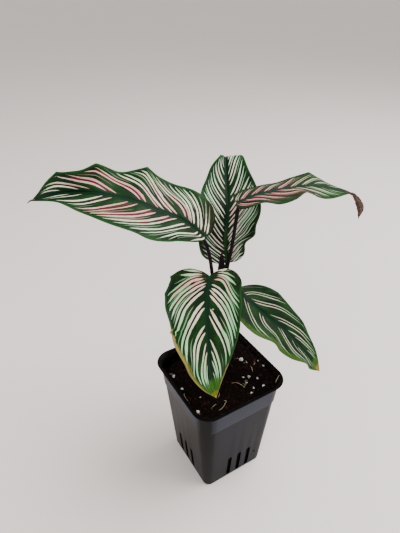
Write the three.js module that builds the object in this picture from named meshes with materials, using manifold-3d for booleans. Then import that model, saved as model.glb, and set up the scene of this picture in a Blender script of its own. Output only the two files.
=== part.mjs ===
// Potted calathea: five striped leaves on dark stalks, rooted in a square black nursery pot.
// Millimetres, +Z up. The origin is the middle of the pot's underside and the pot's sides lie
// along X and Y. The plant is usually seen from the pot's corner at -X -Y.
import * as THREE from "three";
import { mergeVertices } from "three/addons/utils/BufferGeometryUtils.js";
import Module from "manifold-3d";

const wasm = await Module();
wasm.setup();

// ---------------------------------------------------------------- driving dimensions

const CLEARANCE = 0.3; // between two pieces that touch

const POT_HEIGHT = 80;
const BASE_SIDE = 45; // outside of the pot where it stands
const RIM_SIDE = 64; // outside of the flared rim
const BAND_HEIGHT = 17.5; // the band below the rim is set out from the body
const BAND_STEP = 0.5;
const RIM_DEPTH = 2.6; // height over which the rim flares out
const WALL = 1.2;
const FLOOR = 1.8;
const DRAFT = 7 / POT_HEIGHT; // how far each side leans out, per mm of height
const BASE_ROUNDING = 0.2; // corner radius as a share of half the side, at the base
const RIM_ROUNDING = 0.345; // and at the rim

const SLOT_WIDTH = 3;
const SLOT_BOTTOM = 2.2;
const SLOT_TOP = 22.3;
const SLOT_PITCH = 7.5;
const SLOT_SHIFT = 2; // the row of slots lies this far from the middle of a side
const DIMPLE = { along: 15.1, height: 13.4, radius: 1, depth: 0.5 };

const SOIL_LEVEL = 74.6;
const SOIL_TILT = 0.115; // the soil rises towards +X
const SOIL_DIP = { x: -26, y: 24, depth: 2, spread: 12 };
const SOIL_BUMP = 0.6;
const HOLE_RADIUS = 3.9; // planting hole, down to the foot of the shoot

// Perlite grains that lie in the surface of the soil: x, y, radius.
const GRAINS = [
  [-23.5, 18.5, 1.2],
  [-24.5, 4.5, 1.1],
  [-25.5, -17, 1.2],
  [-18.5, -8, 0.9],
  [19, 1.5, 1.5],
  [20, -2.5, 0.9],
  [27, -5.5, 0.9],
  [27, -10.5, 1],
  [11.5, -10.5, 0.9],
  [14, -13, 1.3],
  [18, -17, 0.9],
  [10.5, -15.5, 0.9],
  [17.5, -23.5, 1],
  [11, -22, 1.1],
  [8.5, -23.5, 0.9],
];

const BLADE_THICKNESS = 0.7;
const BLADE_ROUNDING = 0.8; // a blade reaches its full width within this share of its first step
const RIDGE = 1; // how far the midrib stands out under the blade, at its base
const STALK_RADIUS = 0.85;
const SHORTEST_EDGE = 0.02; // what a cut leaves shorter than this is merged

// The shoot is the bundle of leaf sheaths: radius and height, from its foot to the free tip.
const SHOOT_PROFILE = [
  [2.6, 50],
  [3.3, 56],
  [3.3, 80],
  [3.1, 110],
  [2.7, 138],
  [2.2, 150],
  [1.8, 158],
  [1, 163.5],
];
const SHOOT_TOP = 167;
// Its centre line: x, y at three heights.
const SHOOT_LINE = [
  { z: 110, x: 0.3, y: -0.6 },
  { z: 158, x: -1.3, y: -1.2 },
  { z: 167, x: -0.4, y: 0.4 },
];

// Each leaf stalk, from its socket in the shoot to the base of its blade.
const STALKS = {
  left: [
    [-1.5, -0.4, 104],
    [-4.2, -1.6, 120],
    [-7, -3, 140],
    [-8.9, -3.8, 157.5],
    [-8.7, 0.3, 169],
    [-9.9, 2.7, 176.1],
  ],
  back: [
    [0.9, 0.4, 134],
    [2.2, 1.2, 144],
    [4.3, 2.8, 151.5],
    [6.3, 4.8, 155.7],
  ],
  right: [
    [0.6, -1.4, 130],
    [0.9, -2.1, 144],
    [1.6, -2.5, 158],
    [3.9, -1.8, 166],
    [6.8, -0.4, 178.5],
    [9.8, 2.2, 190],
  ],
  front: [
    [-0.3, -2.1, 88],
    [-3.2, -4.3, 112],
    [-7.6, -6, 136],
    [-11, -6.5, 152],
    [-13.3, -7.3, 160],
  ],
  lower_right: [
    [1.6, -1.5, 92],
    [3.5, -2.4, 112],
    [5.4, -2.6, 130],
    [8.1, -2.8, 140.4],
  ],
};

// Each blade: points along its midrib, from base to tip; the direction across it, towards its
// right half; then, at equal steps along the midrib, each half's width and how steeply it is
// folded up, in degrees. A lobe reaches back past the base.
const BLADES = {
  left: {
    rib: [
      [-9.5, 2, 177],
      [-18.5, 10, 186],
      [-29, 16, 191.5],
      [-38, 20.5, 196.5],
      [-52.5, 29.5, 200.5],
      [-68, 36, 202],
      [-83, 41, 199.5],
    ],
    across: [0.4, 0.8, 0.45],
    leftWidth: [15, 16.5, 18.5, 19.5, 19, 17, 13, 7, 0],
    rightWidth: [15.5, 17.5, 19.5, 20.5, 20, 17, 11, 8.5, 0],
    leftFold: [33, 11, 5, 0, 3, 4, 3, 16, 19],
    rightFold: [7, 23, 4, 5, 10, -3, 55, 39, -4],
    lobes: [0, 3.4],
  },
  back: {
    rib: [
      [5.5, 3.5, 156.5],
      [10.5, 13, 166.5],
      [17, 21.5, 179.5],
      [22.5, 31, 191],
      [27.5, 40.5, 201.2],
      [31.5, 47, 195.5],
      [30.5, 46.5, 186],
    ],
    across: [0.85, -0.5, 0],
    leftWidth: [12, 15, 16.5, 17.5, 17, 15.5, 12.5, 9, 3.5, 3, 2.5, 1.5, 0],
    rightWidth: [12, 13.5, 16, 18, 19, 17.5, 15, 12, 9.5, 5.5, 3.5, 2, 0],
    leftFold: [19, 13, 21, 28, 24, 13, 0, 5, 25, 10, 0, 0, 0],
    rightFold: [28, 44, 12, -15, 2, 11, 24, 22, 7, 0, 0, 0, 0],
    lobes: [2.8, 1.8],
  },
  right: {
    rib: [
      [9.5, 2.5, 192],
      [26.5, 1.5, 194],
      [44, 1, 193],
      [63.5, -1.5, 191],
      [84, -8.5, 184],
    ],
    across: [-0.1, -1, 0],
    leftWidth: [10, 11.5, 13.5, 14.5, 14.5, 13.5, 11, 6, 0],
    rightWidth: [10.5, 11.5, 13, 14.5, 14, 13, 10.5, 6, 0],
    leftFold: [-11, -6, -10, -11, -9, 0, 15, 4, 24],
    rightFold: [-4, 7, -7, -1, 11, -8, -24, -32, 5],
    lobes: [0, 5.7],
  },
  front: {
    rib: [
      [-13.5, -8.5, 161],
      [-18.5, -14, 149.5],
      [-22.5, -21.5, 134],
      [-24, -27, 116.5],
      [-23, -32, 98.5],
    ],
    across: [-0.9, 0.25, 0],
    leftWidth: [16.5, 18.5, 19.5, 19.5, 18.5, 16, 12, 6.5, 0],
    rightWidth: [18, 20, 21.5, 20.5, 19, 16.5, 12, 7, 0],
    leftFold: [11, -6, -4, -9, -9, -10, -13, -18, -28],
    rightFold: [10, -2, -3, 13, 14, 29, 22, 29, 18],
    lobes: [7.9, 5],
  },
  lower_right: {
    rib: [
      [8.5, -3, 142],
      [18, -15.5, 129],
      [29.5, -24, 116.5],
      [39.5, -31.5, 101.5],
      [49, -38, 85.5],
    ],
    across: [-0.5, -0.75, -0.1],
    leftWidth: [12, 14.5, 15.5, 16, 15.5, 14, 11, 6.5, 0],
    rightWidth: [13, 14.5, 15.5, 15.5, 15, 13.5, 10.5, 6, 0],
    leftFold: [-30, 19, 39, 30, 24, 28, 26, 32, 39],
    rightFold: [0, -21, -20, -6, -16, -13, 2, -16, -7],
    lobes: [0, 0],
  },
};

// The right leaf ends in a withered, curled tip, which hangs down.
const WITHERED_TIP = {
  rib: [
    [81.5, -7.4, 185],
    [84.3, -9.3, 183],
    [85.4, -12.2, 179.5],
    [85, -14.6, 176.5],
    [82, -17, 172.4],
  ],
  across: [0.6, -0.6, 0.5],
  leftWidth: [0.8, 1.2, 2.2, 2.1, 0],
  rightWidth: [0.8, 1.2, 2.3, 2, 0],
  leftFold: [20, 30, 35, 30, 20],
  rightFold: [20, 30, 35, 30, 20],
  lobes: [0, 0],
};

// ---------------------------------------------------------------- solids and meshes

function solidFrom(geometry) {
  const bare = geometry.clone();
  bare.deleteAttribute("normal");
  bare.deleteAttribute("uv");
  const merged = mergeVertices(bare, 1e-4);
  const vertProperties = merged.attributes.position.array;
  const triVerts = new Uint32Array(merged.index.array);
  return new wasm.Manifold(new wasm.Mesh({ numProp: 3, vertProperties, triVerts }));
}

function geometryFrom(solid) {
  const { vertProperties, triVerts } = solid.simplify(SHORTEST_EDGE).getMesh();
  const geometry = new THREE.BufferGeometry();
  geometry.setAttribute("position", new THREE.BufferAttribute(vertProperties, 3));
  geometry.setIndex(new THREE.BufferAttribute(triVerts, 1));
  geometry.computeVertexNormals();
  return geometry;
}

function meshFrom(name, solid, material) {
  const mesh = new THREE.Mesh(geometryFrom(solid), material);
  mesh.name = name;
  return mesh;
}

// ---------------------------------------------------------------- square lathe

const roundingAt = (z) => THREE.MathUtils.lerp(BASE_ROUNDING, RIM_ROUNDING, z / POT_HEIGHT);

// A point of a square outline with round corners. Each quarter has a straight run, then a corner.
function squarePoint(step, half, rounding, sideSteps, cornerSteps) {
  const quarterSteps = sideSteps + cornerSteps;
  const quarter = Math.floor(step / quarterSteps);
  const within = step % quarterSteps;
  const radius = half * rounding;
  const straight = half - radius;
  const point = new THREE.Vector2();
  if (within < sideSteps) {
    point.set(half, straight * ((2 * within) / sideSteps - 1));
  } else {
    const angle = ((within - sideSteps) / cornerSteps) * (Math.PI / 2);
    point.set(straight + radius * Math.cos(angle), straight + radius * Math.sin(angle));
  }
  return point.rotateAround(new THREE.Vector2(), (quarter * Math.PI) / 2);
}

// A lathe whose circles are drawn out to rounded squares. The profile holds [half side, height].
function squareLathe(profile, sideSteps, cornerSteps) {
  const segments = 4 * (sideSteps + cornerSteps);
  const points = profile.map(([half, z]) => new THREE.Vector2(half, z));
  const geometry = new THREE.LatheGeometry(points, segments);
  const position = geometry.attributes.position;
  for (let i = 0; i < position.count; i++) {
    const [half, z] = profile[i % profile.length];
    const step = Math.floor(i / profile.length) % segments;
    const { x, y } = squarePoint(step, half, roundingAt(z), sideSteps, cornerSteps);
    position.setXYZ(i, x, y, z);
  }
  return geometry;
}

// ---------------------------------------------------------------- pot

const bodyHalf = (z) => BASE_SIDE / 2 + DRAFT * z;
const insideHalf = (z) => bodyHalf(z) - WALL;

function potShell() {
  const bandBottom = POT_HEIGHT - BAND_HEIGHT;
  const rimBottom = POT_HEIGHT - RIM_DEPTH;
  const rim = RIM_SIDE / 2;
  return squareLathe(
    [
      [0, 0],
      [BASE_SIDE / 2 - 0.8, 0],
      [bodyHalf(0.8), 0.8],
      [bodyHalf(bandBottom), bandBottom],
      [bodyHalf(bandBottom) + BAND_STEP, bandBottom + BAND_STEP],
      [bodyHalf(rimBottom) + BAND_STEP, rimBottom],
      [rim - 0.8, POT_HEIGHT - 1.2],
      [rim, POT_HEIGHT - 0.6],
      [rim - 0.3, POT_HEIGHT],
      [rim - 1, POT_HEIGHT],
      [rim - 1.6, POT_HEIGHT - 0.4],
      [rim - 2.8, POT_HEIGHT - 1.8],
      [rim - 3.5, POT_HEIGHT - 3.6],
      [insideHalf(POT_HEIGHT - 10), POT_HEIGHT - 10],
      [insideHalf(FLOOR), FLOOR],
      [0, FLOOR],
    ],
    1,
    7,
  );
}

// A cutter for one slot, for the side that faces -Y, at x = along.
function slotCutter(along) {
  const radius = SLOT_WIDTH / 2;
  const outline = new THREE.Shape();
  outline.absarc(along, SLOT_TOP - radius, radius, 0, Math.PI);
  outline.absarc(along, SLOT_BOTTOM + radius, radius, Math.PI, 2 * Math.PI);
  const options = { depth: 8, bevelEnabled: false, curveSegments: 4 };
  const cutter = new THREE.ExtrudeGeometry(outline, options);
  cutter.rotateX(Math.PI / 2);
  cutter.translate(0, 4 - BASE_SIDE / 2, 0);
  return cutter;
}

function dimpleCutter() {
  const { along, height, radius, depth } = DIMPLE;
  const cutter = new THREE.CylinderGeometry(radius, radius, 2 * depth, 8);
  cutter.translate(along, -bodyHalf(height), height);
  return cutter;
}

function pot() {
  let solid = solidFrom(potShell());
  for (let side = 0; side < 4; side++) {
    const shift = side % 2 ? -SLOT_SHIFT : SLOT_SHIFT;
    for (const place of [-1, 0, 1]) {
      const cutter = slotCutter(place * SLOT_PITCH + shift);
      cutter.rotateZ((-side * Math.PI) / 2);
      solid = solid.subtract(solidFrom(cutter));
    }
  }
  return solid.subtract(solidFrom(dimpleCutter()));
}

// ---------------------------------------------------------------- potting mix

function soilHeight(x, y) {
  const dip = Math.exp(-((x - SOIL_DIP.x) ** 2 + (y - SOIL_DIP.y) ** 2) / (2 * SOIL_DIP.spread ** 2));
  const bumps = Math.sin(0.55 * x + 1) * Math.cos(0.6 * y) + Math.sin(0.9 * y - 0.4 * x);
  return SOIL_LEVEL + SOIL_TILT * x - SOIL_DIP.depth * dip + (SOIL_BUMP / 2) * bumps;
}

function soilBody() {
  const rings = 9;
  const bottom = FLOOR + CLEARANCE;
  const brink = 66; // the soil's wall ends here, below its lowest bump
  const edge = insideHalf(brink) - CLEARANCE;
  const profile = [
    [0, bottom],
    [insideHalf(bottom) - CLEARANCE, bottom],
    [edge, brink],
  ];
  for (let ring = rings; ring >= 0; ring--) profile.push([(edge * ring) / rings, SOIL_LEVEL]);
  const body = squareLathe(profile, 6, 4);
  const position = body.attributes.position;
  for (let i = 0; i < position.count; i++) {
    if (position.getZ(i) <= brink) continue;
    const z = soilHeight(position.getX(i), position.getY(i));
    const wider = (insideHalf(z) - CLEARANCE) / edge;
    position.setXYZ(i, position.getX(i) * wider, position.getY(i) * wider, z);
  }
  return body;
}

function grain(x, y, radius, turn) {
  const lump = new THREE.IcosahedronGeometry(radius, 0);
  lump.rotateZ(turn);
  lump.scale(1, 0.8, 0.7);
  lump.translate(x, y, soilHeight(x, y) + 0.1 * radius);
  return lump;
}

function plantingHole() {
  const foot = SHOOT_PROFILE[0][1] - CLEARANCE;
  const depth = POT_HEIGHT - foot;
  const hole = new THREE.CylinderGeometry(HOLE_RADIUS, HOLE_RADIUS, depth, 16);
  hole.rotateX(Math.PI / 2);
  hole.translate(SHOOT_LINE[0].x, SHOOT_LINE[0].y, foot + depth / 2);
  return hole;
}

function pottingMix() {
  let solid = solidFrom(soilBody());
  GRAINS.forEach(([x, y, radius], i) => {
    solid = solid.add(solidFrom(grain(x, y, radius, i)));
  });
  return solid.subtract(solidFrom(plantingHole()));
}

// ---------------------------------------------------------------- stalks

function stalkTube(points, radius) {
  const path = new THREE.CatmullRomCurve3(points.map((p) => new THREE.Vector3(...p)));
  const section = new THREE.Shape();
  section.absarc(0, 0, radius, 0, 2 * Math.PI);
  const options = { extrudePath: path, steps: 18, bevelEnabled: false, curveSegments: 4 };
  return new THREE.ExtrudeGeometry(section, options);
}

// The socket in which a stalk stands: the stalk's own tube, wider and a little deeper.
function socketCutter(points) {
  const [x, y, z] = points[0];
  const deeper = [[x, y, z - CLEARANCE], ...points];
  return stalkTube(deeper, STALK_RADIUS + CLEARANCE);
}

function shootCentre(z) {
  const [low, high, top] = SHOOT_LINE;
  const [from, to] = z < high.z ? [low, high] : [high, top];
  const share = THREE.MathUtils.clamp((z - from.z) / (to.z - from.z), 0, 1);
  return [THREE.MathUtils.lerp(from.x, to.x, share), THREE.MathUtils.lerp(from.y, to.y, share)];
}

// The sheaths overlap, so the shoot has a low ridge down each side.
function shootBody() {
  const foot = SHOOT_PROFILE[0][1];
  const profile = [[0, foot], ...SHOOT_PROFILE, [0, SHOOT_TOP]];
  const body = new THREE.LatheGeometry(
    profile.map(([radius, z]) => new THREE.Vector2(radius, z)),
    16,
  );
  body.rotateX(Math.PI / 2);
  const position = body.attributes.position;
  for (let i = 0; i < position.count; i++) {
    const z = position.getZ(i);
    const [x, y] = shootCentre(z);
    const angle = Math.atan2(position.getY(i), position.getX(i));
    const swell = 1 + 0.07 * Math.cos(2 * angle + 1) + 0.03 * Math.cos(5 * angle);
    position.setXY(i, x + position.getX(i) * swell, y + position.getY(i) * swell);
  }
  return body;
}

function shoot() {
  let solid = solidFrom(shootBody());
  for (const points of Object.values(STALKS)) solid = solid.subtract(solidFrom(socketCutter(points)));
  return solid;
}

// ---------------------------------------------------------------- leaf blades

// A value, or a point, at a share of the way along equal steps: a Catmull-Rom spline.
function along(values, share) {
  const points = values.map((v) => new THREE.Vector3(...[v].flat()));
  return new THREE.CatmullRomCurve3(points, false, "catmullrom", 0.5).getPoint(share);
}

// A point of a blade's middle surface. u runs from base to tip, reach from -1 at the full width
// on the left over 0 at the midrib to 1 at the full width on the right.
function bladePoint(blade, u, reach) {
  const step = 1e-3;
  const origin = along(blade.rib, u);
  const ahead = along(blade.rib, Math.min(u + step, 1));
  const forward = ahead.sub(along(blade.rib, Math.max(u - step, 0))).normalize();
  const across = new THREE.Vector3(...blade.across);
  across.addScaledVector(forward, -across.dot(forward)).normalize();
  const upward = across.clone().cross(forward);
  const left = reach < 0;
  const width = Math.max(along(left ? blade.leftWidth : blade.rightWidth, u).x, 0.3);
  const fold = THREE.MathUtils.degToRad(along(left ? blade.leftFold : blade.rightFold, u).x);
  const share = Math.abs(reach);
  const steps = u * (blade.leftWidth.length - 1);
  const nearBase = Math.max(1 - steps / 2, 0) ** 2;
  const back = blade.lobes[left ? 0 : 1] * share * (2 - share) * nearBase;
  return origin
    .addScaledVector(across, width * reach * Math.cos(fold))
    .addScaledVector(upward, width * share * Math.sin(fold))
    .addScaledVector(forward, -back);
}

function bladeNormal(blade, u, reach) {
  const step = 1e-3;
  const ahead = bladePoint(blade, Math.min(u + step, 1), reach);
  const behind = bladePoint(blade, Math.max(u - step, 0), reach);
  const right = bladePoint(blade, u, Math.min(reach + step, 1));
  const left = bladePoint(blade, u, Math.max(reach - step, -1));
  return right.sub(left).cross(ahead.sub(behind)).normalize();
}

// The corners of a grid, walked anticlockwise round its edge.
function gridEdge(columns, rows) {
  const at = (column, row) => row * (columns + 1) + column;
  const edge = [];
  for (let column = 0; column < columns; column++) edge.push(at(column, rows));
  for (let row = rows; row > 0; row--) edge.push(at(columns, row));
  for (let column = columns; column > 0; column--) edge.push(at(column, 0));
  for (let row = 0; row < rows; row++) edge.push(at(0, row));
  return edge;
}

// Where a column of the grid crosses the midrib, and how far it reaches across. The first few
// columns go round the rounded base; the others stand at equal steps.
function columnPlace(blade, column, columns) {
  const rounding = BLADE_ROUNDING / (blade.leftWidth.length - 1);
  const roundColumns = 5;
  if (column >= roundColumns) {
    const share = (column - roundColumns) / (columns - roundColumns);
    return { u: THREE.MathUtils.lerp(rounding, 1, share), extent: 1 };
  }
  const angle = ((column / roundColumns) * Math.PI) / 2;
  return { u: rounding * (1 - Math.cos(angle)), extent: Math.max(Math.sin(angle), 0.03) };
}

// A blade is a plane's grid laid on its surface twice, split alike on both faces, and closed
// round the edge. The midrib stands out as a keel on the lower face. A margin thickens it.
function bladeSheet(blade, rows, margin) {
  const columns = 3 * (blade.rib.length - 1) + 16;
  const half = BLADE_THICKNESS / 2 + margin;
  const grid = new THREE.PlaneGeometry(1, 2, columns, rows);
  const count = grid.attributes.position.count;
  const upper = [];
  const lower = [];
  for (let i = 0; i < count; i++) {
    const { u, extent } = columnPlace(blade, i % (columns + 1), columns);
    const flat = -grid.attributes.position.getY(i);
    const reach = extent * Math.sign(flat) * Math.abs(flat) ** 1.4; // closer near the midrib
    const normal = bladeNormal(blade, u, reach);
    const point = bladePoint(blade, u, reach);
    const keel = flat === 0 && rows > 4 ? RIDGE * (1 - 0.8 * u) : 0;
    upper.push(...point.clone().addScaledVector(normal, half).toArray());
    lower.push(...point.addScaledVector(normal, -half - keel).toArray());
  }
  const faces = [...grid.index.array];
  for (let i = 0; i < grid.index.count; i += 3) {
    const [a, b, c] = grid.index.array.slice(i, i + 3);
    faces.push(a + count, c + count, b + count);
  }
  const edge = gridEdge(columns, rows);
  edge.forEach((p, i) => {
    const q = edge[(i + 1) % edge.length];
    faces.push(q, p, p + count, q, p + count, q + count);
  });
  const sheet = new THREE.BufferGeometry();
  sheet.setAttribute("position", new THREE.Float32BufferAttribute([...upper, ...lower], 3));
  sheet.setIndex(faces);
  return sheet;
}

function leaf(side) {
  const sheet = solidFrom(bladeSheet(BLADES[side], 10, 0));
  return side === "right" ? sheet.add(solidFrom(bladeSheet(WITHERED_TIP, 4, 0))) : sheet;
}

// A leaf stalk ends just under its blade, cut along the blade's lower face.
function stalk(side) {
  const uncut = solidFrom(stalkTube(STALKS[side], STALK_RADIUS));
  const pieces = uncut.subtract(solidFrom(bladeSheet(BLADES[side], 10, CLEARANCE))).decompose();
  return pieces.reduce((a, b) => (a.volume() > b.volume() ? a : b));
}

// ---------------------------------------------------------------- the plant in its pot

const blackPlastic = new THREE.MeshStandardMaterial({ color: 0x2b2c2f, roughness: 0.45, metalness: 0 });
const darkSoil = new THREE.MeshStandardMaterial({ color: 0x1b1411, roughness: 0.95, metalness: 0 });
const purpleStalk = new THREE.MeshStandardMaterial({ color: 0x2c1a25, roughness: 0.5, metalness: 0 });
const stripedLeaf = new THREE.MeshStandardMaterial({ color: 0x3d6b47, roughness: 0.5, metalness: 0 });

const plant = new THREE.Group();
plant.add(meshFrom("pot", pot(), blackPlastic));
plant.add(meshFrom("potting_mix", pottingMix(), darkSoil));
plant.add(meshFrom("shoot", shoot(), purpleStalk));
for (const side of Object.keys(BLADES)) {
  plant.add(meshFrom(`stalk_${side}`, stalk(side), purpleStalk));
  plant.add(meshFrom(`leaf_${side}`, leaf(side), stripedLeaf));
}

export default plant;
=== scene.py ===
"""The potted calathea in Blender: finer pieces over the CAD frame, with their materials.

Sizes are in millimetres, in the CAD frame, and become metres where a mesh is made.
"""

from collections import namedtuple
from functools import partialmethod
from math import atan2, cos, exp, hypot, pi, radians, sin, sqrt

import bmesh
import bpy
import numpy as np
from mathutils import Matrix, Vector, noise


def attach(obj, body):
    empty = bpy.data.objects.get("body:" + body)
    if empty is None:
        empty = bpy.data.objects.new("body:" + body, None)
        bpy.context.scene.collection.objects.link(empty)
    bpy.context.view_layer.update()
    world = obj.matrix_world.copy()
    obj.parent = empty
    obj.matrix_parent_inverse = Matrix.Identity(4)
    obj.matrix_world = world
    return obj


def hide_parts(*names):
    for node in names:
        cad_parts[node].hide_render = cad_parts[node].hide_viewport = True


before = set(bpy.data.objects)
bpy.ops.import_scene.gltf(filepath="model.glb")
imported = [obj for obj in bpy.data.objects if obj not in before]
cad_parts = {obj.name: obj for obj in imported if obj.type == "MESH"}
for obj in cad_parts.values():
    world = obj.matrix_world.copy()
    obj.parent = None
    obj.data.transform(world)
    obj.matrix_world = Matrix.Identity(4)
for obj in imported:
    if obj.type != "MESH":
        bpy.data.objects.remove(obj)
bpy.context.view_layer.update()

MM = 0.001
RANDOM = np.random.default_rng(7)

# ------------------------ the plant's sizes

POT_HEIGHT = 80
BASE_HALF = 22.5
DRAFT = 7 / POT_HEIGHT  # how far each side leans out, per mm of height
BAND_FOOT = 63  # the band below the rim stands out from here up
BAND_TOP = 77.4
BAND_STEP = 0.5
RIM_HALF = 32
WALL = 1.2
POT_FLOOR = 1.8
BASE_ROUNDING = 0.2  # corner radius as a share of half the side, at the base
RIM_ROUNDING = 0.345
LIP = [(30.4, 79.6), (29.2, 78.2), (28.5, 76.4)]  # the inner slope of the rim: half a side, height
SLOT_WIDTH = 3
SLOT_FOOT = 2.2
SLOT_TOP = 22.3
SLOT_STEP = 7.5
SLOT_SHIFT = 2  # the row of slots lies this far from the middle of a side
DIMPLE = {"along": 15.1, "z": 13.4, "radius": 1, "depth": 0.5}

SOIL_LEVEL = 74.6
SOIL_TILT = 0.115
SOIL_DIP = {"x": -26, "y": 24, "depth": 2, "spread": 12}
SOIL_BUMP = 0.6
CLEARANCE = 0.3

# The bundle of leaf sheaths: its radius and height, then the points of its middle line.
SHOOT_PROFILE = [
    (2.6, 50), (3.3, 56), (3.3, 80), (3.1, 110), (2.7, 138), (2.2, 150), (1.8, 158), (1, 163.5), (0.05, 167),
]
SHOOT_LINE = [(0.3, -0.6, 110), (-1.3, -1.2, 158), (-0.4, 0.4, 167)]

STALK_RADIUS = 0.85
# Each leaf stalk, from its socket in the shoot to the base of its blade.
STALKS = {
    "left": [
        (-1.5, -0.4, 104), (-4.2, -1.6, 120), (-7, -3, 140),
        (-8.9, -3.8, 157.5), (-8.7, 0.3, 169), (-9.9, 2.7, 176.1),
    ],
    "back": [(0.9, 0.4, 134), (2.2, 1.2, 144), (4.3, 2.8, 151.5), (6.3, 4.8, 155.7)],
    "right": [
        (0.6, -1.4, 130), (0.9, -2.1, 144), (1.6, -2.5, 158),
        (3.9, -1.8, 166), (6.8, -0.4, 178.5), (9.8, 2.2, 190),
    ],
    "front": [(-0.3, -2.1, 88), (-3.2, -4.3, 112), (-7.6, -6, 136), (-11, -6.5, 152), (-13.3, -7.3, 160)],
    "lower_right": [(1.6, -1.5, 92), (3.5, -2.4, 112), (5.4, -2.6, 130), (8.1, -2.8, 140.4)],
}

# Each blade: its midrib, the way across it, then for each half the width in millimetres and the
# fold in degrees at equal steps from base to tip, and how far each half's base lobe reaches back.
BLADES = {
    "left": {
        "rib": [
            (-9.5, 2, 177), (-18.5, 10, 186), (-29, 16, 191.5), (-38, 20.5, 196.5),
            (-52.5, 29.5, 200.5), (-68, 36, 202), (-83, 41, 199.5),
        ],
        "across": (0.4, 0.8, 0.45),
        "width": ([15, 16.5, 18.5, 19.5, 19, 17, 13, 7, 0], [15.5, 17.5, 19.5, 20.5, 20, 17, 11, 8.5, 0]),
        "fold": ([33, 11, 5, 0, 3, 4, 3, 16, 19], [7, 23, 4, 5, 10, -3, 55, 39, -4]),
        "lobes": (0, 3.4),
    },
    "back": {
        "rib": [
            (5.5, 3.5, 156.5), (10.5, 13, 166.5), (17, 21.5, 179.5), (22.5, 31, 191),
            (27.5, 40.5, 201.2), (31.5, 47, 195.5), (30.5, 46.5, 186),
        ],
        "across": (0.85, -0.5, 0),
        "width": (
            [12, 15, 16.5, 17.5, 17, 15.5, 12.5, 9, 3.5, 3, 2.5, 1.5, 0],
            [12, 13.5, 16, 18, 19, 17.5, 15, 12, 9.5, 5.5, 3.5, 2, 0],
        ),
        "fold": (
            [19, 13, 21, 28, 24, 13, 0, 5, 25, 10, 0, 0, 0],
            [28, 44, 12, -15, 2, 11, 24, 22, 7, 0, 0, 0, 0],
        ),
        "lobes": (2.8, 1.8),
    },
    "right": {
        "rib": [(9.5, 2.5, 192), (26.5, 1.5, 194), (44, 1, 193), (63.5, -1.5, 191), (84, -8.5, 184)],
        "across": (-0.1, -1, 0),
        "width": ([10, 11.5, 13.5, 14.5, 14.5, 13.5, 11, 6, 0], [10.5, 11.5, 13, 14.5, 14, 13, 10.5, 6, 0]),
        "fold": ([-11, -6, -10, -11, -9, 0, 15, 4, 24], [-4, 7, -7, -1, 11, -8, -24, -32, 5]),
        "lobes": (0, 5.7),
    },
    "front": {
        "rib": [
            (-13.5, -8.5, 161), (-18.5, -14, 149.5), (-22.5, -21.5, 134), (-24, -27, 116.5),
            (-23, -32, 98.5),
        ],
        "across": (-0.9, 0.25, 0),
        "width": ([16.5, 18.5, 19.5, 19.5, 18.5, 16, 12, 6.5, 0], [18, 20, 21.5, 20.5, 19, 16.5, 12, 7, 0]),
        "fold": ([11, -6, -4, -9, -9, -10, -13, -18, -28], [10, -2, -3, 13, 14, 29, 22, 29, 18]),
        "lobes": (7.9, 5),
    },
    "lower_right": {
        "rib": [(8.5, -3, 142), (18, -15.5, 129), (29.5, -24, 116.5), (39.5, -31.5, 101.5), (49, -38, 85.5)],
        "across": (-0.5, -0.75, -0.1),
        "width": ([12, 14.5, 15.5, 16, 15.5, 14, 11, 6.5, 0], [13, 14.5, 15.5, 15.5, 15, 13.5, 10.5, 6, 0]),
        "fold": ([-30, 19, 39, 30, 24, 28, 26, 32, 39], [0, -21, -20, -6, -16, -13, 2, -16, -7]),
        "lobes": (0, 0),
    },
}
WITHERED_TIP = {
    "rib": [
        (81.5, -7.4, 185), (84.3, -9.3, 183), (85.4, -12.2, 179.5), (85, -14.6, 176.5), (82, -17, 172.4),
    ],
    "across": (0.6, -0.6, 0.5),
    "width": ([0.8, 1.2, 2.2, 2.1, 0], [0.8, 1.2, 2.3, 2, 0]),
    "fold": ([20, 30, 35, 30, 20], [20, 30, 35, 30, 20]),
    "lobes": (0, 0),
}

# Where a blade's margin comes to a corner: half, share of the length, spread as a share, pull in mm.
CORNERS = {
    "left": [(1, 0.485, 0.05, (0, 0, 1.2)), (1, 0.697, 0.05, (0, 0, 1)), (1, 0.852, 0.035, (0, 0, 1))],
    "front": [
        (1, 0.02, 0.02, (0, 0, 0.4)), (1, 0.092, 0.025, (-0.9, 0.5, 0)), (1, 0.2, 0.05, (-0.6, 0.4, 0)),
        (1, 0.43, 0.02, (-0.7, 0.4, 0)),
    ],
    "right": [(0, 0.73, 0.06, (0, 0, 1.2))],
}

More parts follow.
